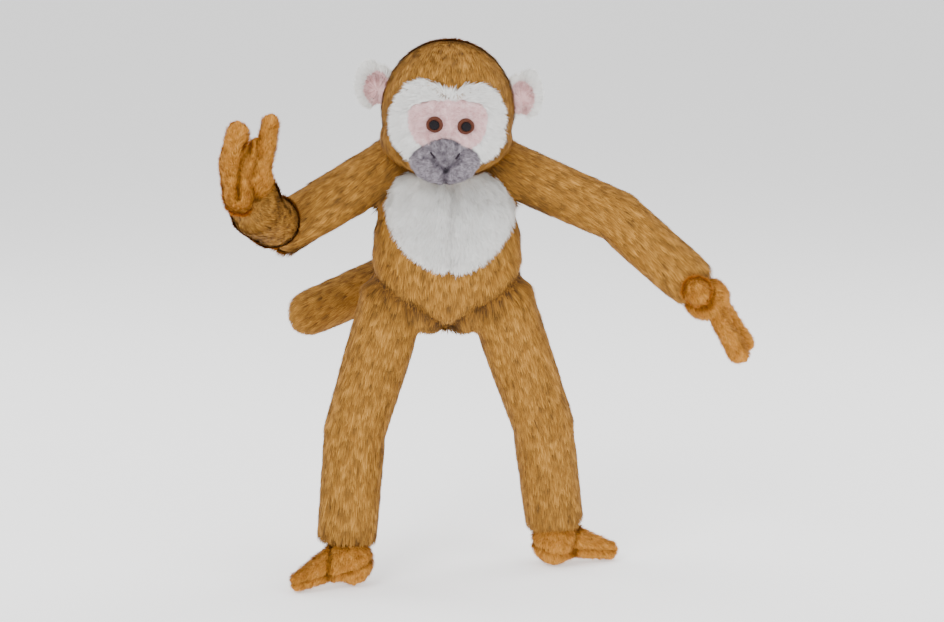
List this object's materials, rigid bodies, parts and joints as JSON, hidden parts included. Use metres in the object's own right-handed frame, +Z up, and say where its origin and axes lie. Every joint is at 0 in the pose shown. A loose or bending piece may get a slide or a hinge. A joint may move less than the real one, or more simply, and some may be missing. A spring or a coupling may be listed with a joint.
{
  "type": "plush monkey",
  "caption": "Standing plush monkey with a stuffed jointed body, long arms and legs, a white face mask and bib, sewn eyes and a curled tail.",
  "frame": {"origin": "on the floor under the middle of the standing monkey's outline", "axes": "+Z up, the face looks along -Y, +X towards the monkey's left hand"},
  "size_m": [0.418, 0.1982, 0.4327],
  "materials": {
    "brown_pile": "long laid pile with lighter tips",
    "white_pile": "long fluffy pile",
    "tan_pile": "short dense pile",
    "pink_pile": "short dense pile",
    "grey_pile": "short dense pile",
    "eye_ring_thread": "satin-stitched embroidery thread",
    "eye_pupil_thread": "satin-stitched embroidery thread",
    "nostril_thread": "embroidery thread",
    "stuffing": "loose polyester fibre"
  },
  "bodies": {
    "torso": {"torso_cover": "brown_pile", "torso_stuffing": "stuffing", "bib_right": "white_pile", "bib_left": "white_pile"},
    "neck": {"neck_cover": "brown_pile", "neck_stuffing": "stuffing"},
    "head": {"head_cover": "brown_pile", "head_stuffing": "stuffing", "face_mask": "white_pile", "brow_patch": "pink_pile", "muzzle_cover": "grey_pile", "muzzle_stuffing": "stuffing", "eye_ring_right": "eye_ring_thread", "eye_pupil_right": "eye_pupil_thread", "eye_ring_left": "eye_ring_thread", "eye_pupil_left": "eye_pupil_thread", "nostril_right": "nostril_thread", "nostril_left": "nostril_thread"},
    "ear_right": {"ear_back_right": "white_pile", "ear_lining_right": "pink_pile"},
    "shoulder_right": {"shoulder_right_cover": "brown_pile", "shoulder_right_stuffing": "stuffing"},
    "upper_arm_right": {"upper_arm_right_cover": "brown_pile", "upper_arm_right_stuffing": "stuffing"},
    "forearm_right": {"forearm_right_cover": "brown_pile", "forearm_right_stuffing": "stuffing"},
    "hand_right": {"hand_right_palm": "tan_pile", "hand_right_back": "tan_pile", "hand_right_stuffing": "stuffing"},
    "thigh_right": {"thigh_right_cover": "brown_pile", "thigh_right_stuffing": "stuffing"},
    "shin_right": {"shin_right_cover": "brown_pile", "shin_right_stuffing": "stuffing"},
    "foot_right": {"foot_right_upper": "tan_pile", "foot_right_sole": "tan_pile", "foot_right_stuffing": "stuffing"},
    "ear_left": {"ear_back_left": "white_pile", "ear_lining_left": "pink_pile"},
    "shoulder_left": {"shoulder_left_cover": "brown_pile", "shoulder_left_stuffing": "stuffing"},
    "upper_arm_left": {"upper_arm_left_cover": "brown_pile", "upper_arm_left_stuffing": "stuffing"},
    "forearm_left": {"forearm_left_cover": "brown_pile", "forearm_left_stuffing": "stuffing"},
    "hand_left": {"hand_left_palm": "tan_pile", "hand_left_back": "tan_pile", "hand_left_stuffing": "stuffing"},
    "thigh_left": {"thigh_left_cover": "brown_pile", "thigh_left_stuffing": "stuffing"},
    "shin_left": {"shin_left_cover": "brown_pile", "shin_left_stuffing": "stuffing"},
    "foot_left": {"foot_left_upper": "tan_pile", "foot_left_sole": "tan_pile", "foot_left_stuffing": "stuffing"},
    "tail_base": {"tail_base_cover": "brown_pile", "tail_base_stuffing": "stuffing"},
    "tail_tip": {"tail_tip_cover": "brown_pile", "tail_tip_stuffing": "stuffing"}
  },
  "joints": [
    {"name": "head_turn", "type": "hinge", "parent": "torso", "child": "neck", "pos_m": [-0.03574, 0.00697, 0.33191], "axis": [0, 0, 1], "range_deg": [-20, 20]},
    {"name": "head_nod", "type": "hinge", "parent": "neck", "child": "head", "pos_m": [-0.03574, 0.00697, 0.33191], "axis": [1, 0, 0], "range_deg": [-10, 5]},
    {"name": "ear_fold_right", "type": "hinge", "parent": "head", "child": "ear_right", "pos_m": [-0.08697, -0.00223, 0.39538], "axis": [0.2388, 0, 0.9711], "range_deg": [-15, 55]},
    {"name": "arm_raise_right", "type": "hinge", "parent": "torso", "child": "shoulder_right", "pos_m": [-0.08674, 0.01497, 0.32715], "axis": [0, 1, 0], "range_deg": [-12, 30]},
    {"name": "arm_swing_right", "type": "hinge", "parent": "shoulder_right", "child": "upper_arm_right", "pos_m": [-0.08674, 0.01497, 0.32715], "axis": [0, 0, 1], "range_deg": [-25, 15]},
    {"name": "elbow_bend_right", "type": "hinge", "parent": "upper_arm_right", "child": "forearm_right", "pos_m": [-0.16415, -0.00361, 0.28307], "axis": [-0.5246, 0.3891, 0.7572], "range_deg": [-78.9, 19.1]},
    {"name": "wrist_bend_right", "type": "hinge", "parent": "forearm_right", "child": "hand_right", "pos_m": [-0.18479, -0.08281, 0.30947], "axis": [-0.9988, 0.004, -0.0496], "range_deg": [-106.4, 5.6]},
    {"name": "hip_swing_right", "type": "hinge", "parent": "torso", "child": "thigh_right", "pos_m": [-0.07774, 0.00097, 0.226], "axis": [-1, 0, 0], "range_deg": [-29.7, 72.3]},
    {"name": "knee_bend_right", "type": "hinge", "parent": "thigh_right", "child": "shin_right", "pos_m": [-0.10924, -0.01303, 0.12178], "axis": [1, 0, 0], "range_deg": [-5.4, 102.6]},
    {"name": "ankle_bend_right", "type": "hinge", "parent": "shin_right", "child": "foot_right", "pos_m": [-0.11624, -0.02903, 0.033], "axis": [-0.5639, 0.8258, 0], "range_deg": [-20, 20]},
    {"name": "ear_fold_left", "type": "hinge", "parent": "head", "child": "ear_left", "pos_m": [0.01935, -0.00223, 0.38888], "axis": [0.1186, 0, -0.9929], "range_deg": [-15, 55]},
    {"name": "arm_raise_left", "type": "hinge", "parent": "torso", "child": "shoulder_left", "pos_m": [0.01526, 0.01497, 0.32715], "axis": [0, -1, 0], "range_deg": [-12, 30]},
    {"name": "arm_swing_left", "type": "hinge", "parent": "shoulder_left", "child": "upper_arm_left", "pos_m": [0.01526, 0.01497, 0.32715], "axis": [0, 0, -1], "range_deg": [-25, 15]},
    {"name": "elbow_bend_left", "type": "hinge", "parent": "upper_arm_left", "child": "forearm_left", "pos_m": [0.09871, 0.00878, 0.29139], "axis": [-0.6578, 0, -0.7532], "range_deg": [-4, 94]},
    {"name": "wrist_bend_left", "type": "hinge", "parent": "forearm_left", "child": "hand_left", "pos_m": [0.16323, 0.00121, 0.23504], "axis": [-0.073, -0.9928, 0.0945], "range_deg": [-28.8, 83.2]},
    {"name": "hip_swing_left", "type": "hinge", "parent": "torso", "child": "thigh_left", "pos_m": [0.00626, 0.00097, 0.226], "axis": [-1, 0, 0], "range_deg": [-12.7, 89.3]},
    {"name": "knee_bend_left", "type": "hinge", "parent": "thigh_left", "child": "shin_left", "pos_m": [0.04126, 0.01797, 0.12178], "axis": [1, 0, 0], "range_deg": [-8.3, 99.7]},
    {"name": "ankle_bend_left", "type": "hinge", "parent": "shin_left", "child": "foot_left", "pos_m": [0.05226, 0.03297, 0.033], "axis": [0.1701, -0.9854, 0], "range_deg": [-20, 20]},
    {"name": "tail_sway", "type": "hinge", "parent": "torso", "child": "tail_base", "pos_m": [-0.04574, 0.04497, 0.248], "axis": [0, 0, 1], "range_deg": [-20, 8]},
    {"name": "tail_curl", "type": "hinge", "parent": "tail_base", "child": "tail_tip", "pos_m": [-0.05574, 0.07897, 0.242], "axis": [-0.4038, 0.0425, 0.9139], "range_deg": [-89.2, 3.8]}
  ]
}
